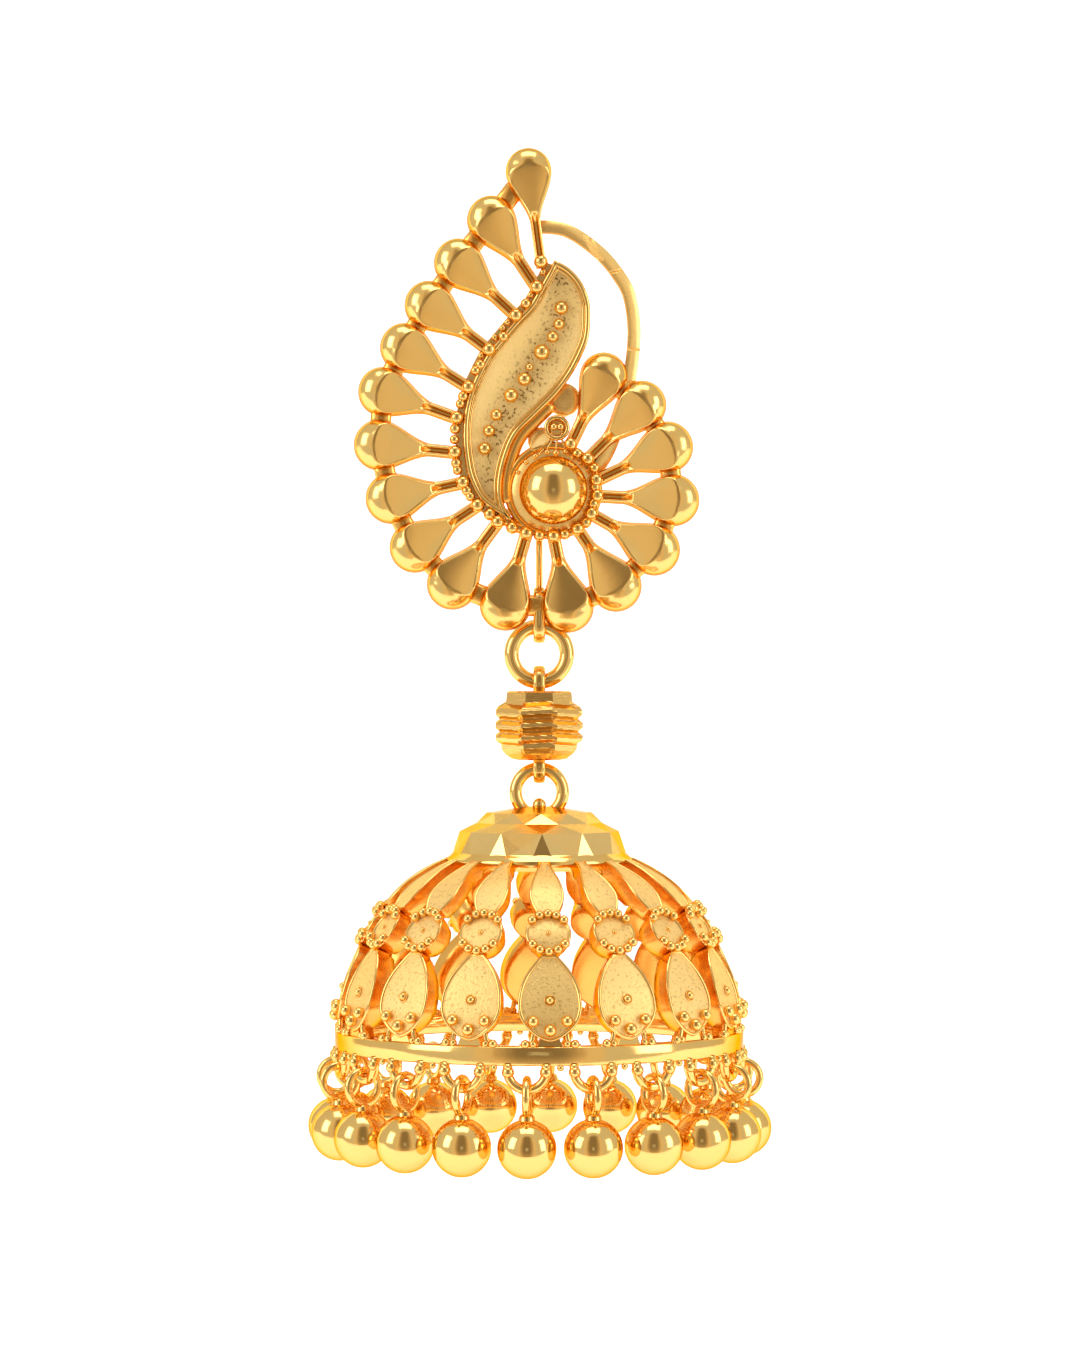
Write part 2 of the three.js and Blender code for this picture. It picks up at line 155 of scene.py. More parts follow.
def spline(points, n, closed=False):
    """Catmull-Rom through the points, evenly spaced along its length."""
    p = np.array(points, float)
    if closed:
        q = np.vstack([p[-1:], p, p[:2]])
    else:
        q = np.vstack([2 * p[0] - p[1], p, 2 * p[-1] - p[-2]])
    out = []
    for i in range(len(q) - 3):
        a, b, c, d = q[i:i + 4]
        t = np.linspace(0, 1, 24, endpoint=False)[:, None]
        out.append(0.5 * (2 * b + (c - a) * t + (2 * a - 5 * b + 4 * c - d) * t * t + (3 * b - a - 3 * c + d) * t ** 3))
    out = np.vstack(out + [q[-2:-1]])
    s = np.r_[0, np.cumsum(np.linalg.norm(np.diff(out, axis=0), axis=1))]
    want = np.linspace(0, s[-1], n + 1)[:-1] if closed else np.linspace(0, s[-1], n)
    return np.stack([np.interp(want, s, out[:, k]) for k in range(p.shape[1])], -1)


def build(name, parts, mats, body, replaces=()):
    count = 0
    verts, faces, mat, smooth, tone = [], [], [], [], []
    for p in parts:
        verts.append(p.v)
        tone.append(p.tone)
        faces += [tuple(int(i) + count for i in f) for f in p.f]
        mat += [p.mat] * len(p.f)
        smooth += [p.smooth] * len(p.f)
        count += len(p.v)
    mesh = bpy.data.meshes.new(name)
    mesh.from_pydata((np.vstack(verts) * MM).tolist(), [], faces)
    for m in mats:
        mesh.materials.append(m)
    mesh.polygons.foreach_set("material_index", mat)
    mesh.polygons.foreach_set("use_smooth", smooth)
    layer = mesh.attributes.new("tone", "FLOAT", "POINT")
    layer.data.foreach_set("value", np.concatenate(tone))
    mesh.validate()
    mesh.update()
    obj = bpy.data.objects.new(name, mesh)
    bpy.context.scene.collection.objects.link(obj)
    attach(obj, body)
    for node in replaces:
        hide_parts(node)
    return obj


# ------------------------------------------------------------------ materials
GOLD = (1.0, 0.65, 0.215)


def gold(name, base=GOLD, rough=0.12, rough_var=0.05, bump=0.02, bump_mm=0.35, fine=0.0, fine_mm=0.05, stretch=(1, 1, 1),
         dark=None, speckle=0.0, metal=1.0, edge=(0.85, 0.47, 0.14)):
    m = bpy.data.materials.new(name)
    m.use_nodes = True
    nt = m.node_tree
    n, l = nt.nodes, nt.links
    bsdf = n["Principled BSDF"]
    bsdf.inputs["Metallic"].default_value = metal
    bsdf.inputs["Specular IOR Level"].default_value = 0.5
    bsdf.inputs["Specular Tint"].default_value = (*edge, 1)
    co = n.new("ShaderNodeTexCoord")
    mp = n.new("ShaderNodeMapping")
    mp.inputs["Scale"].default_value = stretch
    l.new(co.outputs["Object"], mp.inputs["Vector"])

    def noise(size_mm, detail, vec=mp):
        t = n.new("ShaderNodeTexNoise")
        t.inputs["Scale"].default_value = 1.0 / (size_mm * MM)
        t.inputs["Detail"].default_value = detail
        l.new(vec.outputs[0], t.inputs["Vector"])
        return t.outputs["Fac"]

    wide = noise(1.6, 3)
    ramp = n.new("ShaderNodeMapRange")
    ramp.inputs["From Min"].default_value = 0.3
    ramp.inputs["From Max"].default_value = 0.7
    ramp.inputs["To Min"].default_value = max(0.02, rough - rough_var)
    ramp.inputs["To Max"].default_value = rough + rough_var
    l.new(wide, ramp.inputs["Value"])
    l.new(ramp.outputs[0], bsdf.inputs["Roughness"])
    mix = n.new("ShaderNodeMix")
    mix.data_type = "RGBA"
    mix.inputs["A"].default_value = (*base, 1)
    mix.inputs["B"].default_value = (base[0] * 0.97, base[1] * 0.93, base[2] * 0.82, 1)
    l.new(noise(2.6, 2), mix.inputs["Factor"])
    colour = mix.outputs["Result"]
    height = noise(bump_mm, 2)
    b1 = n.new("ShaderNodeBump")
    b1.inputs["Strength"].default_value = bump
    b1.inputs["Distance"].default_value = bump_mm * MM * 0.3
    l.new(height, b1.inputs["Height"])
    normal = b1.outputs["Normal"]
    if fine:
        grain = noise(fine_mm, 4)
        b2 = n.new("ShaderNodeBump")
        b2.inputs["Strength"].default_value = fine
        b2.inputs["Distance"].default_value = fine_mm * MM * 0.5
        l.new(grain, b2.inputs["Height"])
        l.new(normal, b2.inputs["Normal"])
        normal = b2.outputs["Normal"]
    if speckle:
        pit = n.new("ShaderNodeMapRange")
        pit.inputs["From Min"].default_value = 0.56
        pit.inputs["From Max"].default_value = 0.66
        l.new(noise(0.17, 4), pit.inputs["Value"])
        amount = n.new("ShaderNodeMath")
        amount.operation = "MULTIPLY"
        l.new(pit.outputs[0], amount.inputs[0])
        amount.inputs[1].default_value = speckle
        # painted shade: the per-vertex mask mixes the colour towards dark, 0.36 of it plainly as painted shade and the
        # rest as the dark speckle
        if dark:
            tone = n.new("ShaderNodeAttribute")
            tone.attribute_name = "tone"
            mid = n.new("ShaderNodeMath")
            mid.operation = "MULTIPLY_ADD"
            l.new(amount.outputs[0], mid.inputs[0])
            l.new(tone.outputs["Fac"], mid.inputs[1])
            # the plain part of the painted shade, without speckle
            plain = n.new("ShaderNodeMath")
            plain.operation = "MULTIPLY"
            l.new(tone.outputs["Fac"], plain.inputs[0])
            plain.inputs[1].default_value = 0.36
            l.new(plain.outputs[0], mid.inputs[2])
            fac = mid.outputs[0]
        else:
            fac = amount.outputs[0]
        m2 = n.new("ShaderNodeMix")
        m2.data_type = "RGBA"
        l.new(fac, m2.inputs["Factor"])
        l.new(colour, m2.inputs["A"])
        m2.inputs["B"].default_value = (*(dark or (0.42, 0.20, 0.04)), 1)
        colour = m2.outputs["Result"]
    l.new(colour, bsdf.inputs["Base Color"])
    l.new(normal, bsdf.inputs["Normal"])
    return m


POLISH = gold("gold_polished", rough=0.11, rough_var=0.03, bump=0.03, bump_mm=1.1)
PETAL = gold("gold_petal", rough=0.17, rough_var=0.04, bump=0.02, bump_mm=1.2, fine=0.03, fine_mm=0.09)
BALLS = gold("gold_ball", rough=0.13, rough_var=0.03, bump=0.04, bump_mm=1.3)
BLAST = gold("gold_blasted", base=(1.0, 0.70, 0.27), rough=0.40, rough_var=0.05, bump=0.06, fine=0.6, fine_mm=0.10, speckle=0.46, metal=0.72)
# its dark colour serves both the speckle and the painted shade of the tray ground
TRAYM = gold("gold_tray_ground", base=(1.0, 0.73, 0.30), rough=0.42, rough_var=0.06, bump=0.06, fine=0.9, fine_mm=0.12,
             dark=(0.20, 0.095, 0.02), speckle=0.95, metal=0.30)
# painted shade: a deeper, darker orange copy of the gold, for the petals' side walls, the tray's wall, the beds round
# the cup, the inner walls of the bell's bezels and the solder joints
SHADED_WALL = gold("gold_side_wall_painted_shade", base=(0.98, 0.53, 0.13), rough=0.24, rough_var=0.05, bump=0.03)
SATIN = gold("gold_satin", base=(1.0, 0.69, 0.26), rough=0.15, rough_var=0.05, bump=0.05, fine=0.14, fine_mm=0.06)
BAND = gold("gold_band", base=(1.0, 0.66, 0.23), rough=0.25, rough_var=0.05, bump=0.03, metal=0.80)
BRUSH = gold("gold_brushed", base=(1.0, 0.62, 0.20), rough=0.15, rough_var=0.04, bump=0.03, fine=0.22, fine_mm=0.12, stretch=(0.12, 0.12, 1.8))

# ------------------------------------------------------------------ stud tables
PETALS = [
    # root_x root_z bulb_x bulb_z bulb_r
    (-1.37, 8.14, -2.10, 13.54, 1.38), (-1.61, 6.64, -4.31, 10.69, 1.39), (-2.85, 4.96, -6.28, 8.14, 1.39),
    (-4.44, 2.92, -8.03, 5.62, 1.39), (-5.67, 0.70, -9.49, 3.10, 1.39), (-6.36, -1.12, -10.77, 0.47, 1.41),
    (-6.48, -3.16, -10.99, -2.70, 1.45), (-6.01, -4.96, -10.29, -5.88, 1.45), (-5.14, -6.33, -8.87, -8.80, 1.44),
    (-3.92, -7.31, -6.64, -10.99, 1.45), (-2.22, -7.97, -3.48, -12.23, 1.46), (-0.61, -8.15, 0.24, -12.34, 1.47),
    (0.82, -7.72, 3.10, -11.10, 1.46), (1.63, -6.81, 5.39, -8.95, 1.46), (1.98, -5.75, 6.52, -5.99, 1.48),
    (1.92, -4.83, 6.17, -2.83, 1.46), (1.42, -3.56, 4.64, -0.33, 1.39), (0.41, -2.69, 2.37, 1.39, 1.35),
]
TRAY = [
    # left_x left_z right_x right_z
    (-0.55, 8.21, -0.55, 8.21), (-1.02, 7.30, 0.29, 7.74), (-1.46, 6.50, 1.02, 6.93), (-2.01, 5.55, 1.46, 5.84),
    (-2.85, 4.67, 1.53, 4.75), (-3.72, 3.65, 1.42, 3.58), (-4.53, 2.63, 1.02, 2.55), (-5.15, 1.46, 0.44, 1.46),
    (-5.62, 0.29, -0.44, 0.29), (-5.89, -0.95, -1.68, -0.95), (-5.96, -2.19, -2.81, -2.12), (-5.88, -3.36, -3.39, -3.43),
    (-5.62, -4.67, -3.69, -4.75), (-5.04, -5.84, -3.69, -5.91), (-4.38, -6.46, -3.43, -6.64), (-3.14, -7.23, -3.14, -7.23),
]
HOOP = [
    # x z
    (-1.75, 10.22), (-1.02, 10.29), (0.07, 10.11), (1.13, 9.53), (2.34, 8.54), (3.27, 7.39), (3.87, 6.28), (4.15, 4.75),
    (4.16, 3.28), (3.91, 1.31), (3.36, -1.09), (2.63, -3.07), (1.82, -4.38),
]
HOOP_CUTS = [
    # x0 z0 x1 z1
    (1.25, 9.72, 2.0, 8.3), (1.55, 9.72, 2.25, 8.35), (2.75, 7.55, 3.75, 7.8), (3.6, 3.05, 4.7, 2.95),
]
TRAY_GRANULES = [
    # x z r
    (-0.15, 5.40, 0.40), (-0.29, 4.45, 0.32), (-0.66, 3.69, 0.33), (-1.31, 2.77, 0.46), (-2.04, 1.90, 0.22),
    (-2.34, 1.17, 0.40), (-3.14, 0.20, 0.42), (-4.01, -0.95, 0.34), (-4.45, -1.90, 0.35), (-4.71, -2.95, 0.38),
]
SMALL_GRANULES = [
    # x z r, round the border
    (-2.26, 5.66, .23), (-3.59, 3.69, .23), (-4.96, 2.04, .22), (-5.26, 1.68, .2), (-5.99, 0.15, .23), (-6.16, -0.29, .2),
    (-6.48, -1.78, .23), (-6.51, -2.41, .2), (-6.40, -3.82, .23), (-6.33, -4.24, .2), (-5.77, -5.45, .23), (-5.56, -5.80, .2),
    (-4.41, -6.85, .28), (-3.07, -7.65, .28), (-1.46, -8.10, .26), (0.06, -8.03, .24), (1.31, -7.34, .24), (1.74, -6.22, .23),
    (1.85, -5.23, .23), (1.81, -4.11, .23), (0.80, -3.24, .23),
]
CUP_X, CUP_Z = -0.63, -5.44
BACK, SIDE_FLARE = -0.35, 0.10


def petal(row):
    rx, rz, bx, bz, br = row
    flat_side = 0.02 if rz > 8 else SIDE_FLARE
    br -= 0.02
    length = math.hypot(bx - rx, bz - rz)
    taper, neck, rim, top = 3.0, 0.30, 0.62, 1.66
    # stations from the root, along the stem, to the tip
    back = np.linspace(-length - 0.35, -taper, 14)
    front = -taper + (taper + br) * (1 - np.cos(np.linspace(0, PI, 62)[1:])) / 2
    u = np.r_[back, front]
    touch = -br * br / taper * 0.42
    def half(x):
        if x >= touch:
            return math.sqrt(max(br * br - x * x, 0))
        if x <= -taper:
            return neck
        w0 = math.sqrt(br * br - touch * touch)
        slope0 = -touch / w0
        q = (x + taper) / (touch + taper)
        d = touch + taper
        h = q * q * (3 - 2 * q)
        # Hermite from the neck to the bulb's own slope
        return (2 * q ** 3 - 3 * q * q + 1) * neck + (q ** 3 - 2 * q * q + q) * d * 0.10 + h * w0 + (q ** 3 - q * q) * d * slope0
    w = np.array([max(half(x), 0.0) for x in u])
    m = 33
    s = np.sin(np.linspace(-PI / 2, PI / 2, m))
    U, S = np.meshgrid(u, s, indexing="ij")
    W = np.repeat(w[:, None], m, 1)
    V = S * W
    k = (top - rim) / br
    edge_u = 0.34 * br
    q = np.clip((edge_u - U) / 1.0, 0, 1)
    power = 2 + 5 * q * q * (3 - 2 * q)
    dome = rim + k * W * np.sqrt(np.maximum(1 - np.abs(S) ** power, 0))
    plane = 0.50 + (U + taper) * (rim + k * math.sqrt(br * br - edge_u ** 2) - 0.50) / (edge_u + taper)
    plane = plane + 0.085 * W * (1 - S * S)
    h = np.minimum(dome, plane)
    # raised edges beside the cut face, which run on down the stem
    width = W * (1 - np.abs(S))
    ridge = np.exp(-((width - 0.075) / 0.055) ** 2) * (U < 0.1)
    h = np.where(U < 0.1, h + 0.07 * ridge * np.clip((-U + 0.1) / 0.6, 0, 1), h)
    stem = np.clip((-U - taper + 0.55) / 0.6, 0, 1)
    flat = 0.52 + 0.0 * U
    groove = flat - 0.30 * np.exp(-(S / 0.42) ** 4) + 0.05 * np.exp(-((np.abs(S) - 0.72) / 0.2) ** 2)
    h = h * (1 - stem) + groove * stem
    h = np.where(np.abs(S) > 0.9995, np.minimum(h, 0.55), h)
    grid = np.stack([U, V, h], -1)
    n = len(u)
    # a back edge, a little wider than the front
    flare = flat_side + 0 * u
    def edge(side):
        pts = grid[:, -1 if side > 0 else 0].copy()
        du = np.gradient(w, u)
        nx, ny = -du, np.ones_like(du)
        nn = np.hypot(nx, ny)
        nx, ny = nx / nn, ny / nn
        nx[-3:] = 1.0
        ny[-3:] = 0.0
        pts[:, 0] += flare * nx
        pts[:, 1] += side * flare * ny
        pts[:, 2] = 0
        return pts
    low = edge(-1)[:, None]
    high = edge(1)[:, None]
    walls = np.concatenate([high, grid[:, -1:], grid[:, :1], low], 1)
    wall_faces = [q for q in grid_faces(n, 4, wrap_m=True, flip=False) if (q[0] % 4) != 1]
    wall_faces.append((0, 3, 2, 1))
    a = math.atan2(bz - rz, bx - rx)
    c, sn = math.cos(a), math.sin(a)
    def place(v):
        v = v.reshape(-1, 3)
        return np.stack([bx + v[:, 0] * c - v[:, 1] * sn, BACK - v[:, 2], bz + v[:, 0] * sn + v[:, 1] * c], -1)
    face_quads = grid_faces(n, m, flip=True)
    face_quads.append(tuple(range(0, m)))
    return [Part(place(grid), face_quads, 1), Part(place(walls), wall_faces, 3)]


def granule(x, z, r, y, mat=0, collar=True, nu=14, nv=9):
    parts = [sphere((x, y, z), r, nu, nv, mat)]
    if collar:
        parts.append(sweep(ring_path((x, y + r * 0.72, z), r * 0.88, 18), round_section(r * 0.17, 6), (0, 1, 0), True, mat))
    return parts


def outline_tray():
    left = [(a, b) for a, b, _, _ in TRAY]
    right = [(c, d) for _, _, c, d in TRAY][1:-1][::-1]
    return left, right


def rail(points, y, r, mat=0, m=10):
    p = np.array(points)
    path = np.stack([p[:, 0], np.full(len(p), y), p[:, 1]], -1)
    return sweep(path, round_section(r, m), (0, 1, 0), True, mat)


def offset(points, d):
    p = np.array(points)
    t = np.roll(p, -1, 0) - np.roll(p, 1, 0)
    t /= np.linalg.norm(t, axis=1)[:, None]
    return p + np.stack([t[:, 1], -t[:, 0]], -1) * d


def slab(points, y0, y1, mat=0, bevel=0.05):
    """A plate with this closed outline from y0 (back) to y1 (front), with softened front edges."""
    p = np.array(points)
    n = len(p)
    inner = offset(p, -bevel)
    rows = [(p, y0), (p, y1 + bevel), (inner, y1)]
    v = np.vstack([np.stack([q[:, 0], np.full(n, y), q[:, 1]], -1) for q, y in rows])
    f = grid_faces(3, n, wrap_m=True)
    f.append(tuple(range(n)))
    f.append(tuple(range(3 * n - 1, 2 * n - 1, -1)))
    return Part(v, f, mat, False)


def racetrack(L, n=16):
    top, bottom, wire, outer = L
    half = outer - wire / 2
    a = np.linspace(0, PI, n)
    up = np.stack([half * np.cos(a), top - wire / 2 - half + half * np.sin(a)], -1)
    dn = np.stack([-half * np.cos(a), bottom + wire / 2 + half - half * np.sin(a)], -1)
    sides = [np.linspace(up[-1], dn[0], 6)[1:-1], np.linspace(dn[-1], up[0], 6)[1:-1]]
    p = np.vstack([up, sides[0], dn, sides[1]])
    return np.stack([np.full(len(p), AXIS_X), p[:, 0] + AXIS_Y, p[:, 1]], -1)


def flat_loop(top, bottom, wire, outer, width=0.70, mat=0):
    a = np.linspace(0, 2 * PI, 18, endpoint=False)
    sup = lambda q, e: np.sign(q) * np.abs(q) ** e
    section = np.stack([wire / 2 * sup(np.cos(a), 0.75), width / 2 * sup(np.sin(a), 0.8)], -1)
    return sweep(racetrack((top, bottom, wire, outer)), section, (1, 0, 0), True, mat)


# ------------------------------------------------------------------ stud
stud = [part for row in PETALS for part in petal(row)]
for rx, rz, bx, bz, _ in PETALS:
    stud += granule(rx, rz, 0.40, -1.18)
for x, z, r in SMALL_GRANULES:
    stud += granule(x, z, r + 0.08, -1.10)

left, right = outline_tray()
left_line = spline(left, 60)
# a row of fine granules fills the border between the others
seat = spline(left, 200)
step = np.gradient(seat, axis=0)
step /= np.linalg.norm(step, axis=1)[:, None]
seat = (seat + np.stack([step[:, 1], -step[:, 0]], -1) * 0.30)[6:-8]
used = [(rx, rz, 0.40) for rx, rz, _, _, _ in PETALS] + [(x, z, r + 0.08) for x, z, r in SMALL_GRANULES]
for x, z in seat:
    if all(math.hypot(x - a, z - b) > c + 0.17 for a, b, c in used):
        used.append((x, z, 0.20))
        stud += granule(x, z, 0.20, -0.90, 0, False, 12, 8)
right_line = spline([(c, d) for _, _, c, d in TRAY], 60)
tray_ring = np.vstack([left_line, right_line[::-1][1:-1]])
# ledge under the granules, the tray's wall, and its two polished rims
stud.append(slab(offset(tray_ring, -0.03), -0.24, -0.62, 3, 0.02))
stud.append(rail(offset(tray_ring, -0.15), -0.80, 0.19, 3))
outer_line = left_line[1:-1]
tt = np.gradient(outer_line, axis=0)
tt /= np.linalg.norm(tt, axis=1)[:, None]
outer_line = outer_line + np.stack([tt[:, 1], -tt[:, 0]], -1) * 0.50
ledge = np.vstack([outer_line, (right_line[::-1] * 0.75 + left_line[::-1] * 0.25)[2:-2]])
stud.append(slab(ledge, -0.29, -0.72, 4, 0.04))
stud.append(rail(offset(tray_ring, -0.13), -1.03, 0.17))
stud.append(rail(offset(tray_ring, -0.37), -1.04, 0.10))
# the hollowed ground between the rims, with painted shade and speckle along its middle band and at two patches near its
# ends
q = np.linspace(0, 1, 29)
S, T = np.meshgrid(q, np.arange(60), indexing="ij")
L3 = left_line[T.astype(int)]
R3 = right_line[T.astype(int)]
P = L3 * (1 - S[..., None]) + R3 * S[..., None]
wide = np.linalg.norm(R3 - L3, axis=-1)
hollow = np.sin(PI * S) ** 0.8
depth = -1.0 - 0.02 + 0.30 * hollow * np.clip(wide / 2.0, 0, 1)
ground = np.stack([P[..., 0], depth, P[..., 1]], -1).reshape(-1, 3)
# painted shade: the mask is strongest along the middle of the hollow and at two patches near its ends, darkening the
# colour there and letting the speckle in
band = np.exp(-((S - 0.58) / 0.25) ** 2) * (0.55 + 0.45 * np.sin(T / 60 * PI))
band = np.maximum(band, np.exp(-((T - 5) / 6.0) ** 2) * (S > 0.25))
band = np.maximum(band, 0.9 * np.exp(-((T - 50) / 6.0) ** 2))
stud.append(Part(ground, grid_faces(29, 60), 2, True, np.clip(band, 0, 1).reshape(-1)))
for x, z, r in TRAY_GRANULES:
    stud += granule(x, z, r, -0.98)

# cup and its base
def lathe_y(rows, n, mat=0, cx=CUP_X, cz=CUP_Z, close=False):
    rows = np.array(rows, float)
    a = np.linspace(0, 2 * PI, n, endpoint=False)
    v = np.stack([cx + rows[:, :1] * np.cos(a), np.repeat(rows[:, 1:], n, 1), cz + rows[:, :1] * np.sin(a)], -1).reshape(-1, 3)
    return Part(v, grid_faces(len(rows), n, wrap_n=close, wrap_m=True, flip=True), mat)


stud.append(lathe_y([(0.01, -0.21), (2.80, -0.21), (2.88, -0.28), (2.88, -0.58), (2.80, -0.66), (2.45, -0.68)], 64))
stud.append(lathe_y([(2.72, -0.50), (2.66, -0.70), (2.48, -0.82), (2.24, -0.93), (2.02, -1.01), (1.80, -1.04), (0.01, -1.04)], 64, 4))
# the bed of the granules round the cup, and the bridge from the tray's foot
stud.append(sweep(ring_path((CUP_X, -0.72, CUP_Z), 2.68, 90), round_section(0.24, 10), (0, 1, 0), True, 3))
stud.append(sweep(spline([(-3.9, -0.62, -6.75), (-3.35, -0.66, -7.25), (-2.75, -0.66, -7.62), (-2.0, -0.62, -7.75)], 16), round_section(0.34, 12), (0, 1, 0), False, 3))
mend = right_line[33:56]
stud.append(sweep(np.stack([mend[:, 0] + 0.26, np.full(len(mend), -0.60), mend[:, 1] - 0.04], -1), round_section(0.41, 12), (0, 1, 0), False, 3))
# scroll between tray and cup
stud += [lathe_y([(0.01, -0.33), (0.66, -0.33), (0.70, -0.38), (0.70, -0.62), (0.55, -0.74), (0.3, -0.82), (0.01, -0.84)], 28, 4, -0.42, -1.72)]
stud += [lathe_y([(0.01, -0.31), (0.76, -0.31), (0.80, -0.36), (0.80, -0.46), (0.60, -0.56), (0.3, -0.62), (0.01, -0.64)], 28, 4, -1.35, -2.45)]
stud.append(sweep(ring_path((-0.42, -0.95, -1.72), 0.63, 36), round_section(0.14, 10), (0, 1, 0), True))
stud += granule(-0.60, -1.66, 0.22, -1.0, 0, False) + granule(-0.20, -1.66, 0.22, -1.0, 0, False)
stud.append(sweep(ring_path((-0.42, -0.98, -1.92), 0.33, 16, "XZ", PI * 1.1, PI * 1.9, True), round_section(0.06, 6), (0, 1, 0)))
leaf = np.array([(-0.95, -1.95), (-1.45, -2.15), (-1.95, -2.75), (-1.75, -3.05), (-1.15, -2.75), (-0.85, -2.35)])
stud.append(slab(spline([tuple(p) for p in leaf][::-1], 40, True)[::-1], BACK, -0.92, 2, 0.05))
stud.append(rail(spline([tuple(p) for p in leaf], 40, True), -0.92, 0.07, 0, 6))
for a, b in (((-0.42, -2.35), (-0.45, -3.1)), ((-0.62, -2.3), (-1.0, -3.0)), ((-0.15, -2.3), (0.1, -3.0)), ((-1.2, -2.95), (-1.5, -3.35))):
    line = np.linspace((a[0], -0.9, a[1]), (b[0], -0.9, b[1]), 5)
    stud.append(sweep(line, round_section(0.07, 6), (0, 1, 0)))
for x, z, r in ((-0.45, -3.2, .2), (0.12, -3.12, .17), (-1.0, -3.15, .17), (-1.7, -3.4, .17), (-2.25, -3.75, .16), (-2.75, -4.35, .15)):
    stud += granule(x, z, r, -0.9)

# hoop behind the petals, with its engraved cuts
line = spline(HOOP, 420)
tang = np.gradient(line, axis=0)
tang /= np.linalg.norm(tang, axis=1)[:, None]
nor = np.stack([-tang[:, 1], tang[:, 0]], -1)
half, y0, y1, bv = 0.40, -0.02, -0.44, 0.07
crown = lambda o: y1 + 0.45 * o * o + 0.32 * o
prof = [(-half, y0), (-half, y1 + 0.02), (-half + bv, crown(-half + bv)), (-0.27, crown(-0.27)), (-0.20, crown(-0.2)), (-0.13, crown(-0.13)), (-0.06, crown(-0.06)),
        (0, crown(0)), (0.06, crown(0.06)), (0.13, crown(0.13)), (0.20, crown(0.2)), (0.27, crown(0.27)), (half - bv, crown(half - bv)), (half, y1 + bv + 0.13), (half, y0), (0, y0)]
vs = np.zeros((len(line), len(prof), 3))
for j, (o, y) in enumerate(prof):
    vs[:, j, 0] = line[:, 0] + nor[:, 0] * o
    vs[:, j, 2] = line[:, 1] + nor[:, 1] * o
    vs[:, j, 1] = y
flatv = vs.reshape(-1, 3)
for x0, z0, x1, z1 in HOOP_CUTS:
    a, b = np.array([x0, z0]), np.array([x1, z1])
    p = flatv[:, [0, 2]]
    t = np.clip(((p - a) @ (b - a)) / ((b - a) @ (b - a)), 0, 1)
    d = np.linalg.norm(p - a - t[:, None] * (b - a), axis=1)
    flatv[:, 1] += np.where(flatv[:, 1] < -0.25, 0.09 * np.clip(1 - d / 0.09, 0, 1), 0)
hf = grid_faces(len(line), len(prof), wrap_m=True, flip=True)
hf.append(tuple(range(len(prof))))
hf.append(tuple(range(len(flatv) - 1, len(flatv) - 1 - len(prof), -1)))
stud.append(Part(flatv, hf, 4, False))

# bar behind the cup, and the lower loop
bar = np.array([(AXIS_X, -0.22, -7.4), (AXIS_X, -0.22, -9.0), (AXIS_X, -0.22, -11.6)])
stud.append(sweep(bar, round_section(0.33, 12, 0.2)[:, ::-1], (0, 1, 0)))
stud.append(flat_loop(-11.15, -14.49, 0.46, 1.06))
build("stud_gold_work", stud, [POLISH, PETAL, TRAYM, SHADED_WALL, BAND], "stud", ["stud_ornament"])

# solder joints where neighbouring bulbs meet
joints = []
for i in range(len(PETALS) - 1):
    a, b = PETALS[i], PETALS[i + 1]
    pa, pb = np.array([a[2], a[3]]), np.array([b[2], b[3]])
    d = pb - pa
    mid = pa + d * (a[4] / (a[4] + b[4]))
    gap = np.linalg.norm(d) - a[4] - b[4]
    web = sphere((0, 0, 0), 1.0, 24, 14)
    e = d / np.linalg.norm(d)
    f2 = np.array([-e[1], e[0]])
    v = web.v * np.array([0.30 + max(gap, 0) * 0.6, 0.34, 0.62])
    bend = 1 + 0.7 * (v[:, 0] / (0.30 + max(gap, 0) * 0.6)) ** 2
    v[:, 2] *= bend
    joints.append(Part(np.stack([mid[0] + v[:, 0] * e[0] + v[:, 2] * f2[0], v[:, 1] - 0.56, mid[1] + v[:, 0] * e[1] + v[:, 2] * f2[1]], -1), web.f, 0))
# the joints take the painted-shade wall gold
build("stud_solder_joints", joints, [SHADED_WALL], "stud")

ball = sphere((0, 0, 0), 2.03, 72, 48)
ball.v[:, 1] = np.minimum(ball.v[:, 1], 0.90)
ball = ball.moved(lambda v: v + np.array([CUP_X, -1.6, CUP_Z]))
build("centre_ball_polished", [ball], [BALLS], "stud", ["centre_ball"])

post = lathe_y([(0.01, -0.42), (0.3, -0.41), (0.62, -0.37), (0.88, -0.31), (0.99, -0.22), (0.99, -0.05), (0.94, 0.0), (0.45, 0.0), (0.45, 9.4), (0.38, 9.6), (0.38, 9.75),
                (0.45, 9.9), (0.42, 10.3), (0.25, 10.49), (0.01, 10.5)], 32, 0, 0, 0)
build("ear_post_plain", [post], [BAND], "stud", ["ear_post"])

# ------------------------------------------------------------------ jump ring and bead
ring = sweep(ring_path((AXIS_X, AXIS_Y, -15.15), 1.65, 96), round_section(0.436, 24), (0, 1, 0), True)
build("jump_ring_wire", [ring], [POLISH], "ring", ["jump_ring"])

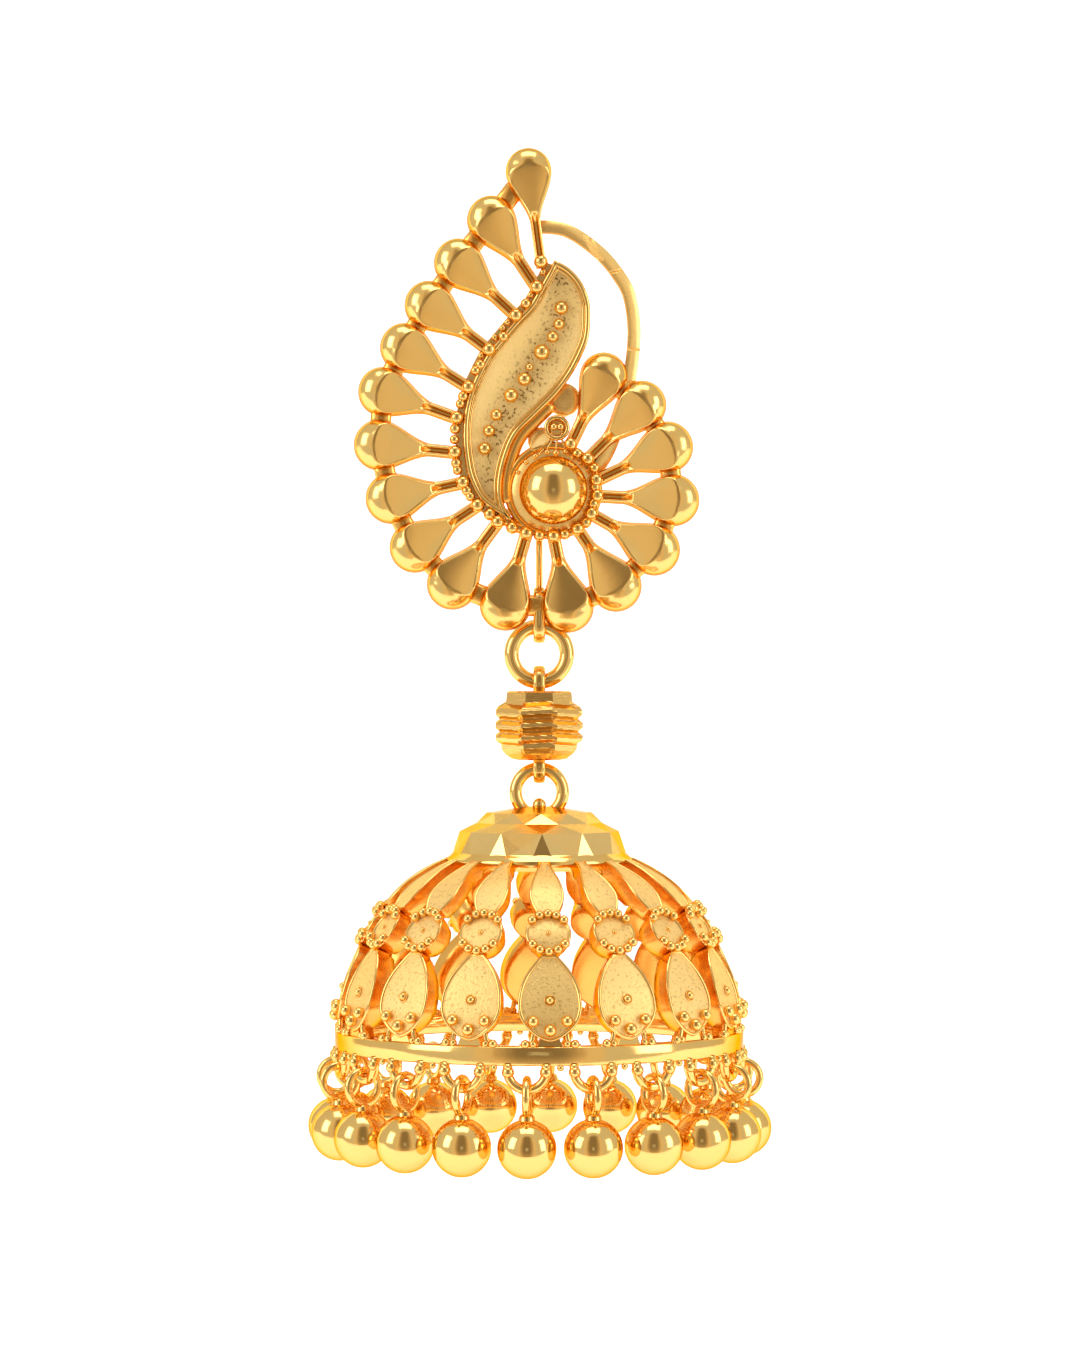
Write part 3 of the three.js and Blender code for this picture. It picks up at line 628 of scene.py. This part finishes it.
BEAD = [
    # flat z
    (0.60, -17.34), (1.78, -17.36), (1.92, -17.44), (1.98, -18.06), (2.44, -18.34), (2.58, -18.56), (2.58, -18.74), (2.30, -18.98), (2.34, -19.08),
    (2.60, -19.28), (2.60, -19.52), (2.30, -19.74), (2.34, -19.84), (2.60, -20.04), (2.56, -20.28), (2.26, -20.46), (2.24, -20.78), (2.0, -21.1),
    (1.62, -21.38), (1.2, -21.47), (0.5, -21.48),
]
rows = np.array(BEAD)
zz = np.r_[np.linspace(rows[0, 1], rows[-1, 1], 90)]
zz = np.unique(np.r_[zz, rows[:, 1]])[::-1]
az = np.concatenate([np.linspace(-22.5, 22.5, 9)[:-1] + 45 * k for k in range(8)])
verts = []
for z in zz:
    for k, a in enumerate(az):
        face = k // 8
        rel = (a - 45 * face)
        lift = (0.10 if face % 2 else -0.05) * np.clip(min(-17.5 - z, z + 21.35) / 0.5, 0, 1)
        tilt = 0.0022 * rel * (1 if face % 2 else -1) * np.clip(min(-17.5 - z, z + 21.35) / 0.5, 0, 1)
        flat = np.interp(-(z + lift + tilt), -rows[:, 1], rows[:, 0])
        r = flat / math.cos(math.radians(rel))
        verts.append((AXIS_X + r * math.sin(math.radians(a)), AXIS_Y - r * math.cos(math.radians(a)), z))
f = grid_faces(len(zz), len(az), wrap_m=True, flip=True)
f.append(tuple(range(len(az))))
f.append(tuple(range(len(verts) - 1, len(verts) - 1 - len(az), -1)))
bead = [Part(verts, f, 1, False), flat_loop(-15.84, -18.0, 0.43, 1.02), flat_loop(-20.9, -22.85, 0.39, 0.94)]
build("faceted_bead_cut", bead, [POLISH, BRUSH], "bead", ["faceted_bead"])

# ------------------------------------------------------------------ bell
MERIDIAN = spline([(4.9, -27.05), (5.6, -27.30), (6.70, -27.82), (7.70, -28.48), (8.40, -29.08), (9.02, -29.76), (9.60, -30.48), (10.15, -31.25),
                   (10.60, -32.15), (11.05, -33.20), (11.58, -34.55), (11.92, -35.8), (12.06, -37.0), (12.10, -38.0)], 400)
M_S = np.r_[0, np.cumsum(np.linalg.norm(np.diff(MERIDIAN, axis=0), axis=1))]
M_T = np.gradient(MERIDIAN, axis=0)
M_T /= np.linalg.norm(M_T, axis=1)[:, None]


def s_at(z):
    return float(np.interp(-z, -MERIDIAN[:, 1], M_S))


def on_bell(s0, azimuth):
    """Carries (x round, y up, h out) about the meridian place s0 on to the bell."""
    a = math.radians(azimuth)
    out, side = np.array([math.sin(a), -math.cos(a), 0]), np.array([math.cos(a), math.sin(a), 0])
    def fn(v):
        s = s0 - v[:, 1]
        r = np.interp(s, M_S, MERIDIAN[:, 0])
        z = np.interp(s, M_S, MERIDIAN[:, 1])
        tr = np.interp(s, M_S, M_T[:, 0])
        tz = np.interp(s, M_S, M_T[:, 1])
        nr, nz = -tz, tr
        rr = r + nr * v[:, 2]
        z2 = z + nz * v[:, 2]
        # the sides narrow towards the inside, as the bell's radius does
        x = v[:, 0] * (1 + np.minimum(v[:, 2], 0) * 0.05)
        return np.outer(rr, out) + np.outer(x, side) + np.outer(z2, [0, 0, 1]) + np.array([AXIS_X, AXIS_Y, 0])
    return fn


def table_outline(rows, n=26):
    """rows: (place down the piece, half width); gives the closed outline, anticlockwise from its top."""
    r = spline(rows, n)
    leftside = np.stack([-r[:, 1], r[:, 0]], -1)
    rightside = np.stack([r[:, 1], r[:, 0]], -1)[::-1]
    if r[-1, 1] < 0.02:
        rightside = rightside[1:]
    if r[0, 1] < 0.02:
        rightside = rightside[:-1]
    return np.vstack([leftside, rightside])


def bezel(outline, deep, wire=0.10, floor=-0.07, face=1, back=0.82):
    """A flat ground inside a wire edge, with walls going in to an inner back."""
    p = np.array(outline)
    n = len(p)
    c = p.mean(0)
    parts = []
    ring = np.stack([p[:, 0], p[:, 1], np.full(n, -wire)], -1)
    t = np.roll(p, -1, 0) - np.roll(p, 1, 0)
    t /= np.linalg.norm(t, axis=1)[:, None]
    inn = np.stack([-t[:, 1], t[:, 0]], -1)
    ring[:, :2] += inn * wire
    a = np.linspace(0, 2 * PI, 8, endpoint=False)
    tube = ring[:, None] + np.concatenate([inn[:, None] * np.cos(a)[None, :, None] * wire, np.broadcast_to((np.sin(a) * wire)[None, :, None], (n, 8, 1))], -1)
    parts.append(Part(tube.reshape(-1, 3), grid_faces(n, 8, wrap_n=True, wrap_m=True, flip=True), 0))
    inner = p + inn * wire
    rows, fs = [], []
    for k, q in enumerate((1.0, 0.75, 0.5, 0.25)):
        rows.append(np.column_stack([c + (inner - c) * q, np.full(n, floor + 0.05 * (1 - q) ** 0.5 if k else floor)]))
    rows.append(np.column_stack([c[None], [[floor + 0.05]]]))
    v = np.vstack(rows)
    fs = grid_faces(4, n, wrap_m=True)
    fs += [(3 * n + j, 3 * n + (j + 1) % n, 4 * n) for j in range(n)]
    parts.append(Part(v, fs, face))
    w = np.vstack([np.column_stack([p + inn * 0.01, np.full(n, -wire)]), np.column_stack([p + inn * 0.01, np.full(n, -deep * 0.5)]),
                   np.column_stack([c + (p + inn * 0.02 - c) * (1 + back) / 2, np.full(n, -deep * 0.95)]),
                   np.column_stack([c + (p - c) * back, np.full(n, -deep)])])
    fs = grid_faces(4, n, wrap_m=True, flip=True)
    fs.append(tuple(range(4 * n - 1, 3 * n - 1, -1)))
    parts.append(Part(w, fs, 3))
    return parts


TEAR = [
    # y half_width
    (2.80, 0.40), (2.5, 0.68), (2.0, 1.08), (1.5, 1.40), (1.0, 1.62), (0.5, 1.77), (0.0, 1.84), (-0.5, 1.84), (-1.0, 1.72), (-1.5, 1.42),
    (-1.95, 0.95), (-2.25, 0.45), (-2.38, 0.0),
]
LEAF = [
    # y half_width
    (2.95, 0.34), (2.1, 0.42), (1.4, 0.58), (0.7, 0.80), (0.0, 0.95), (-0.6, 1.02), (-1.1, 0.97), (-1.6, 0.80), (-2.05, 0.58),
]
s_tear, s_med, s_leaf = s_at(-34.92), s_at(-31.15), s_at(-28.62)

bell = []
for i in range(16):
    az = 3 + i * 22.5
    for p in bezel(table_outline(LEAF, 18), 1.05, 0.085, -0.05):
        bell.append(p.moved(on_bell(s_leaf, az)))
    circle = np.stack([1.33 * np.sin(np.linspace(0, -2 * PI, 36, endpoint=False)), 1.36 * np.cos(np.linspace(0, -2 * PI, 36, endpoint=False))], -1)
    for p in bezel(circle, 1.4, 0.105, -0.08):
        bell.append(p.moved(on_bell(s_med, az)))
    for a in (40, 66, 90, 114, 140, 218, 244, 270, 296, 322):
        r = 0.27 if a < 180 else 0.28
        bell.append(sphere((1.19 * math.cos(math.radians(a)), 1.22 * math.sin(math.radians(a)), 0.12), r, 12, 8).moved(on_bell(s_med, az)))
    bell.append(sphere((0, 0, 0.0), 0.15, 10, 6).moved(on_bell(s_med, az)))
    for p in bezel(table_outline(TEAR, 24), 1.4, 0.115, -0.09):
        bell.append(p.moved(on_bell(s_tear, az)))
    for x, y, r in ((-0.97, -1.20, 0.33), (0, -1.72, 0.36), (0.97, -1.20, 0.33), (0, 0.0, 0.24)):
        bell.append(sphere((x, y, 0.14 if y < -0.5 else 0.0), r, 14, 9).moved(on_bell(s_tear, az)))
    eye = sweep(ring_path((0, 0, 0.0), 0.30, 20, "XY"), round_section(0.035, 6), (0, 0, 1), True)
    bell.append(eye.moved(on_bell(s_tear, az)))
    # feet on the rim beside each teardrop
    spin = turn_z(math.radians(az), (AXIS_X, AXIS_Y, 0))
    for x, r in ((-1.42, 0.26), (1.42, 0.26), (-0.98, 0.22), (0.98, 0.22)):
        bell.append(sphere((x, -11.93, -37.38), r, 12, 8).moved(spin))
    for sgn in (-1, 1):
        arc = np.array([(sgn * 0.95, -11.85, -36.75), (sgn * 1.0, -11.85, -37.1), (sgn * 1.2, -11.85, -37.45), (sgn * 1.75, -11.85, -37.55)])
        bell.append(sweep(spline(arc, 10), round_section(0.16, 8), (0, 1, 0)).moved(spin))
    foot = [(0.75, -37.6), (0.5, -37.0), (-0.5, -37.0), (-0.75, -37.6)]
    fv = [(x, y, z) for y in (-11.95, -11.0) for x, z in foot]
    bell.append(Part(fv, [(0, 1, 2, 3), (7, 6, 5, 4), (0, 4, 5, 1), (1, 5, 6, 2), (2, 6, 7, 3), (3, 7, 4, 0)], 0, False).moved(spin))

# rim band
bell.append(lathe([(11.45, -37.50), (12.05, -37.50), (12.16, -37.54), (12.19, -37.60), (12.19, -38.52), (12.16, -38.58), (12.05, -38.62),
                   (11.45, -38.62), (11.38, -38.55), (11.38, -37.57)], 192, 0, True, True))
# U loops and the granules at their ends
for i in range(20):
    spin = turn_z(math.radians(-3.3 + 18 * i), (AXIS_X, AXIS_Y, 0))
    arc = np.vstack([[(-1.1, -12.0, -38.5)], ring_path((0, -12.02, -38.88), 1.1, 24, "XZ", PI, 2 * PI, True), [(1.1, -12.0, -38.5)]])
    bell.append(sweep(arc, round_section(0.272, 12), (0, 1, 0)).moved(spin))
    for x in (-1.08, 1.08):
        bell.append(sphere((x, -12.08, -38.98), 0.36, 14, 9).moved(spin))
    bell.append(sphere((1.9, -11.95, -38.72), 0.2, 10, 7).moved(spin))

# top ring
bell.append(sweep(ring_path((AXIS_X, AXIS_Y, -23.39), 1.405, 80), round_section(0.38, 20), (0, 1, 0), True))
bell.append(sphere((AXIS_X, AXIS_Y - 0.75, -24.12), 0.40, 18, 12))

# cap: twelve-fold cut facets
CAP_RINGS = [
    # r z offset_deg
    (0.9, -24.24, 0), (2.05, -24.43, 15), (3.14, -24.59, 0), (3.85, -25.19, 15), (4.76, -25.71, 0),
]
cv, cf, idx = [], [], []
def cap_point(r, z, a):
    a = math.radians(a)
    cv.append((AXIS_X + r * math.sin(a), AXIS_Y - r * math.cos(a), z))
    return len(cv) - 1
PH = 2.0
rings = [[cap_point(r, z, PH + o + 30 * k) for k in range(12)] for r, z, o in CAP_RINGS]
apex = cap_point(0, -24.22, 0)
lipc = [(cap_point(5.20, -27.02, PH - 6 + 30 * k), cap_point(5.20, -27.02, PH + 6 + 30 * k)) for k in range(12)]
lipm = [cap_point(4.93, -26.62, PH + 15 + 30 * k) for k in range(12)]
for k in range(12):
    n = (k + 1) % 12
    cf.append((apex, rings[0][k], rings[0][n]))
    for j in range(len(rings) - 1):
        a, b = rings[j], rings[j + 1]
        if CAP_RINGS[j][2] == 0:
            cf.append((a[k], b[k], a[n]))
            cf.append((b[(k - 1) % 12], b[k], a[k]))
        else:
            cf.append((a[k], b[n], a[n]))
            cf.append((b[k], b[n], a[k]))
    # lower kites and triangles
    A, B = rings[4][k], rings[4][n]
    cf.append((A, lipc[k][0], lipc[k][1]))
    cf.append((A, lipc[k][1], lipm[k]))
    cf.append((B, lipm[k], lipc[n][0]))
    cf.append((lipm[k], lipc[k][1], lipc[n][0]))
    cf.append((A, lipm[k], B))
cap = Part(cv, cf, 2, False)
bell.append(cap)
bell.append(lathe([(5.15, -26.95), (5.28, -27.08), (5.52, -27.28), (5.57, -27.38), (5.55, -27.55), (5.48, -27.66), (5.30, -27.90), (4.95, -27.92), (4.75, -27.2),
                   (4.45, -26.4), (3.8, -25.75), (2.2, -25.2), (0.02, -25.0)], 96, 0))
bell_obj = build("bell_gold_work", bell, [POLISH, BLAST, SATIN, SHADED_WALL], "bell", ["jhumka_dome"])

# ------------------------------------------------------------------ drops
for i in range(20):
    spin = turn_z(math.radians(-3.3 + 18 * i), (AXIS_X, AXIS_Y, 0))
    drop = [
        sweep(ring_path((0, -12.15, -40.365), 0.985, 44, "YZ"), round_section(0.235, 12), (1, 0, 0), True),
        sphere((0, -12.15, -43.325), 1.694, 56, 36, 1),
        lathe([(0.02, -41.30), (0.28, -41.32), (0.40, -41.42), (0.46, -41.55), (0.47, -41.68), (0.55, -41.78), (0.3, -41.85)], 24, 0, True, False, (0, -12.15)),
    ]
    build("drop_ball_%02d" % (i + 1), [p.moved(spin) for p in drop], [POLISH, BALLS], "bell", ["drop_%02d" % (i + 1)])

# ------------------------------------------------------------------ stage
def plain(name, colour, rough=0.9, emit=0.0):
    m = bpy.data.materials.new(name)
    m.use_nodes = True
    b = m.node_tree.nodes["Principled BSDF"]
    b.inputs["Base Color"].default_value = (*colour, 1)
    b.inputs["Roughness"].default_value = rough
    b.inputs["Specular IOR Level"].default_value = 0.1
    if emit:
        b.inputs["Emission Color"].default_value = (*colour, 1)
        b.inputs["Emission Strength"].default_value = emit
    return m


floor_z = -45.02 - 13
prof = [(-45, floor_z), (20, floor_z), (610, floor_z)] + [(610 + 90 * math.sin(a), floor_z + 90 - 90 * math.cos(a)) for a in np.linspace(0.03, PI / 2, 24)] + [(700, 700)]
v = [(x, y, z) for y, z in prof for x in (-900, 900)]
cyc_mesh = bpy.data.meshes.new("backdrop")
cyc_mesh.from_pydata((np.array(v) * MM).tolist(), [], [(2 * i, 2 * i + 1, 2 * i + 3, 2 * i + 2) for i in range(len(prof) - 1)])
cyc_mesh.materials.append(plain("pale_paper", (0.90, 0.90, 0.895), 0.95, 0.42))
cyc_mesh.materials.append(plain("pale_wall", (0.93, 0.93, 0.93), 0.95, 0.42))
for poly in cyc_mesh.polygons:
    poly.use_smooth = True
    poly.material_index = 1 if poly.index > 0 else 0
front_mesh = cyc_mesh.copy()
front_mesh.name = "set_front"
for vert in front_mesh.vertices:
    vert.co.y = -0.09 - vert.co.y
side_mesh = bpy.data.meshes.new("set_sides")
side_mesh.from_pydata([(x * MM, y * MM, z * MM) for x in (-900, 900) for y, z in ((-790, floor_z), (700, floor_z), (700, 700), (-790, 700))], [],
                      [(0, 1, 2, 3), (7, 6, 5, 4)])
side_mesh.materials.append(cyc_mesh.materials[1])
side_set = bpy.data.objects.new("set_sides", side_mesh)
bpy.context.scene.collection.objects.link(side_set)
side_set.visible_glossy = False
side_set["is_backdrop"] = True
front_set = bpy.data.objects.new("set_front", front_mesh)
bpy.context.scene.collection.objects.link(front_set)
front_set.visible_glossy = False
front_set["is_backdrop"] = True
cyc = bpy.data.objects.new("backdrop", cyc_mesh)
bpy.context.scene.collection.objects.link(cyc)
cyc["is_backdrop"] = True

# a dark card with a round top behind the camera, which the polished gold mirrors
def card(name, y, x0, x1, z0, z1, arch, colour, emit):
    pts = [(x0, z0), (x1, z0)]
    if arch:
        c, r = (x0 + x1) / 2, (x1 - x0) / 2
        pts += [(c + r * math.cos(a), z1 - r + r * math.sin(a)) for a in np.linspace(0, PI, 24)]
    else:
        pts += [(x1, z1), (x0, z1)]
    me = bpy.data.meshes.new(name)
    me.from_pydata([(x * MM, y * MM, z * MM) for x, z in pts], [], [tuple(range(len(pts)))])
    mat = bpy.data.materials.new(name)
    mat.use_nodes = True
    nt = mat.node_tree
    nt.nodes.clear()
    e = nt.nodes.new("ShaderNodeEmission")
    e.inputs["Color"].default_value = (*colour, 1)
    e.inputs["Strength"].default_value = emit
    if arch:
        # darkest along the middle of the upper part, lighter at the sides and the foot
        co = nt.nodes.new("ShaderNodeTexCoord")
        sep = nt.nodes.new("ShaderNodeSeparateXYZ")
        nt.links.new(co.outputs["Generated"], sep.inputs[0])
        def math_node(op, a, b=0.0, c=0.0):
            k = nt.nodes.new("ShaderNodeMath")
            k.operation = op
            for socket, value in zip(k.inputs, (a, b, c)):
                if isinstance(value, float):
                    socket.default_value = value
                else:
                    nt.links.new(value, socket)
            return k.outputs[0]
        def ramp(value, a, b, lo, hi):
            k = nt.nodes.new("ShaderNodeMapRange")
            k.interpolation_type = "SMOOTHSTEP"
            for key, val in (("From Min", a), ("From Max", b), ("To Min", lo), ("To Max", hi)):
                k.inputs[key].default_value = val
            nt.links.new(value, k.inputs["Value"])
            return k.outputs[0]
        side = ramp(math_node("ABSOLUTE", math_node("SUBTRACT", sep.outputs["X"], 0.5)), 0.20, 0.5, 0.0, 0.34)
        foot = ramp(sep.outputs["Z"], 0.0, 0.36, 0.45, 0.0)
        head = ramp(sep.outputs["Z"], 0.80, 1.0, 0.0, 0.40)
        total = math_node("ADD", math_node("ADD", side, foot), math_node("ADD", head, emit))
        nt.links.new(total, e.inputs["Strength"])
    o = nt.nodes.new("ShaderNodeOutputMaterial")
    nt.links.new(e.outputs[0], o.inputs[0])
    me.materials.append(mat)
    ob = bpy.data.objects.new(name, me)
    bpy.context.scene.collection.objects.link(ob)
    ob.visible_camera = False
    ob.visible_shadow = False
    ob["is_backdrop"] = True
    return ob


card("dark_card", -300, -142, 139, -290, 460, True, (1.0, 0.82, 0.62), 0.25)
card("grey_card", -306, -228, 225, -560, 330, False, (1.0, 0.88, 0.72), 0.76)
card("lens_card", -295, -28, 25, -45, 12, False, (1, 1, 1), 0.5)

world = bpy.data.worlds.new("studio")
bpy.context.scene.world = world
world.use_nodes = True
nt = world.node_tree
bg = nt.nodes["Background"]
bg.inputs["Color"].default_value = (1, 1, 1, 1)
bg.inputs["Strength"].default_value = 0.66


def area(name, at, look, size, radiance, colour=(1, 1, 1)):
    d = bpy.data.lights.new(name, "AREA")
    d.shape = "RECTANGLE"
    d.size, d.size_y = size[0] * MM, size[1] * MM
    d.energy = radiance * PI * d.size * d.size_y
    d.color = colour
    o = bpy.data.objects.new(name, d)
    bpy.context.scene.collection.objects.link(o)
    o.location = Vector(at) * MM
    o.rotation_euler = (Vector(look) * MM - o.location).to_track_quat("-Z", "Y").to_euler()
    return o


area("key_left", (-330, -170, 120), (0, 0, -15), (180, 260), 2.6)
area("fill_right", (340, -150, 60), (0, 0, -15), (150, 240), 2.4)
area("top", (0, -60, 380), (0, 0, -15), (300, 180), 2.3)

cam_data = bpy.data.cameras.new("camera")
cam = bpy.data.objects.new("camera", cam_data)
bpy.context.scene.collection.objects.link(cam)
cam.location = Vector((-1.42, -248.2, -16.4)) * MM
cam.rotation_euler = (PI / 2, 0, 0)
cam_data.sensor_fit = "VERTICAL"
cam_data.sensor_height = 36
cam_data.lens = 111
cam_data.clip_start = 0.005
cam_data.clip_end = 10
bpy.context.scene.camera = cam

scene = bpy.context.scene
scene.view_settings.view_transform = "Standard"
scene.view_settings.look = "None"
scene.view_settings.exposure = 0.0
scene.view_settings.gamma = 1.0

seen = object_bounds()
plain_list = lambda b: [[float(x) for x in p] for p in b]
{"cad": plain_list(cad_box), "visual": plain_list(seen)}
